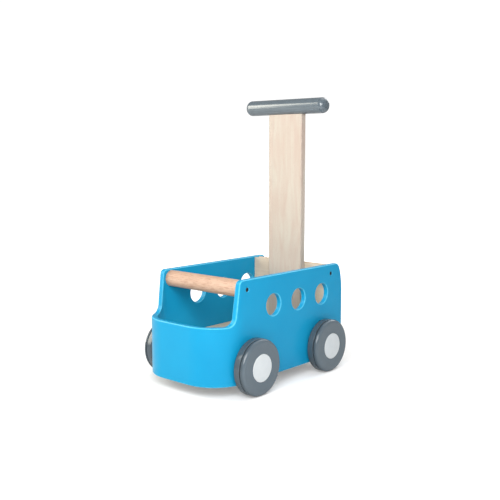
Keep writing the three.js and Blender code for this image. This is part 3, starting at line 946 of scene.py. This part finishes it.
def fastener(node, direction, profile_of, slot, material):
    """A screw or bolt whose head is at the end of its CAD node that direction points to."""
    low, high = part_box(node)
    axis = max(range(3), key=lambda i: abs(direction[i]))
    centre = (low + high) / 2
    head = centre.copy()
    head[axis] = high[axis] if direction[axis] > 0 else low[axis]
    profile, hexagons = profile_of(high[axis] - low[axis])
    up = Vector((0, 0, 1)) if axis != 2 else Vector((0, 1, 0))
    across = direction.cross(up)

    def place(a, b, along):
        return head + across * a + up * b + direction * along

    made = turned(profile, HEAD_STEPS, place, hexagons)
    piece = new_piece(node + "_fine", made, sharp=SHARP_EDGE_OF_HEAD)
    add(piece, "truck", [node], slot, material)


def fasteners():
    for side, sign in SIDES.items():
        outwards = Vector((sign, 0, 0))
        fastener("dowel_screw_" + side, outwards, screw_profile, "dark_steel", DARK_STEEL)
        fastener("floor_screw_" + side, REARWARDS, screw_profile, "steel", STEEL)
        for level in ("lower", "upper"):
            name = level + "_" + side
            fastener("panel_screw_" + name, outwards, screw_profile, "dark_steel", DARK_STEEL)
            fastener("post_bolt_" + name, REARWARDS, bolt_profile, "steel", STEEL)
        for axle in AXLES:
            name = "beam_screw_" + axle + "_" + side
            fastener(name, DOWNWARDS, screw_profile, "steel", STEEL)


# ---- Studio ----
CAMERA_PLACE = Vector((0.82591, -0.92049, 0.35841))
CAMERA_AZIMUTH = math.radians(41.42)
CAMERA_DROP = math.radians(7.18)
CAMERA_ROLL = math.radians(-0.01)
LENS = 55.41  # millimetres, as is the sensor's width
SENSOR = 36
CLIP_NEAR = 0.05
CLIP_FAR = 60
FLOOR_HALF = 12
FLOOR_GLOW = (0.24, 0.85)  # what the backlit floor adds for the camera, near the truck and far
GLOW_REACH = (0.35, 1.3)  # how far from the truck each of the two holds
BACKDROP = 1.05  # the studio's white, as the camera sees it
AMBIENT = 0.36  # how strongly it lights the truck
WHITE = srgb(255, 255, 255)
FLOOR_LIGHT = srgb(226, 226, 226)
FLOOR_DARK = srgb(224, 224, 224)
LIGHT_AIM = Vector((0, 0, 0.15))
WARM = (1, 0.96, 0.84)
NEUTRAL = (1, 1, 1)
# azimuth and elevation in degrees, distance, width and height in metres, watts, tint
LIGHTS = {
    "key": (-55, 21, 1.8, 0.7, 1.25, 25, WARM),
    "main": (34, 28, 0.95, 0.6, 0.6, 9.6, NEUTRAL),
    "side": (61, 22, 1.6, 0.25, 0.35, 3, NEUTRAL),
    "top": (160, 66, 1.6, 1.3, 1.3, 8, NEUTRAL),
    "rear": (178, 34, 1.7, 1.0, 0.9, 9, NEUTRAL),
}


def camera():
    data = bpy.data.cameras.new("camera")
    data.sensor_width = SENSOR
    data.lens = LENS
    data.clip_start = CLIP_NEAR
    data.clip_end = CLIP_FAR
    made = bpy.data.objects.new("camera", data)
    bpy.context.scene.collection.objects.link(made)
    flat = math.cos(CAMERA_DROP)
    aim = Vector(
        (-math.sin(CAMERA_AZIMUTH) * flat, math.cos(CAMERA_AZIMUTH) * flat, -math.sin(CAMERA_DROP))
    )
    turn = aim.to_track_quat("-Z", "Y").to_matrix().to_4x4()
    made.matrix_world = (
        Matrix.Translation(CAMERA_PLACE) @ turn @ Matrix.Rotation(CAMERA_ROLL, 4, "Z")
    )
    bpy.context.scene.camera = made


def softbox(name, azimuth, elevation, distance, width, height, power, tint):
    """A rectangular light, seen from the truck at these angles, facing it."""
    data = bpy.data.lights.new(name, "AREA")
    data.shape = "RECTANGLE"
    data.size = width
    data.size_y = height
    data.energy = power
    data.color = tint
    made = bpy.data.objects.new(name, data)
    bpy.context.scene.collection.objects.link(made)
    a, e = math.radians(azimuth), math.radians(elevation)
    away = Vector((math.sin(a) * math.cos(e), -math.cos(a) * math.cos(e), math.sin(e)))
    made.location = LIGHT_AIM + away * distance
    made.rotation_mode = "QUATERNION"
    made.rotation_quaternion = (-away).to_track_quat("-Z", "Y")


def studio_floor():
    """A white floor, whose glow only the camera sees."""
    made = bmesh.new()
    corners = [(-1, -1), (1, -1), (1, 1), (-1, 1)]
    made.faces.new([made.verts.new((x * FLOOR_HALF, y * FLOOR_HALF, 0)) for x, y in corners])
    mesh = bpy.data.meshes.new("studio_floor")
    made.to_mesh(mesh)
    made.free()
    floor = bpy.data.objects.new("studio_floor", mesh)
    bpy.context.scene.collection.objects.link(floor)
    n = Nodes("studio_floor")
    shade = n.spread(n.noise(n.place, 3), 0, 1)
    seen = n.add("ShaderNodeLightPath").outputs["Is Camera Ray"]
    away = n.add("ShaderNodeVectorMath", operation="LENGTH")
    n.link(n.place, away.inputs[0])
    glow = n.spread(away.outputs["Value"], *FLOOR_GLOW, *GLOW_REACH)
    mesh.materials.append(
        n.set(
            Base_Color=n.mix(shade, FLOOR_LIGHT, FLOOR_DARK),
            Roughness=0.9,
            Specular_IOR_Level=0.1,
            Emission_Color=WHITE,
            Emission_Strength=n.times(seen, glow),
        )
    )


def surroundings():
    """White all round: bright to the camera, and dimmer as the light on the truck."""
    world = bpy.data.worlds.new("studio")
    world.use_nodes = True
    tree = world.node_tree
    background = tree.nodes["Background"]
    background.inputs["Color"].default_value = WHITE
    strength = tree.nodes.new("ShaderNodeMapRange")
    strength.inputs["To Min"].default_value = AMBIENT
    strength.inputs["To Max"].default_value = BACKDROP
    seen = tree.nodes.new("ShaderNodeLightPath").outputs["Is Camera Ray"]
    tree.links.new(seen, strength.inputs["Value"])
    tree.links.new(strength.outputs["Result"], background.inputs["Strength"])
    bpy.context.scene.world = world


def studio():
    studio_floor()
    surroundings()
    for name, setting in LIGHTS.items():
        softbox(name, *setting)
    view = bpy.context.scene.view_settings
    view.view_transform = "Standard"
    view.look = "None"


camera()
paint_frame()
body_shell()
floor_board()
back_panel()
handle_post()
axle_beams()
push_bar()
front_dowel()
wheels()
fasteners()
studio()
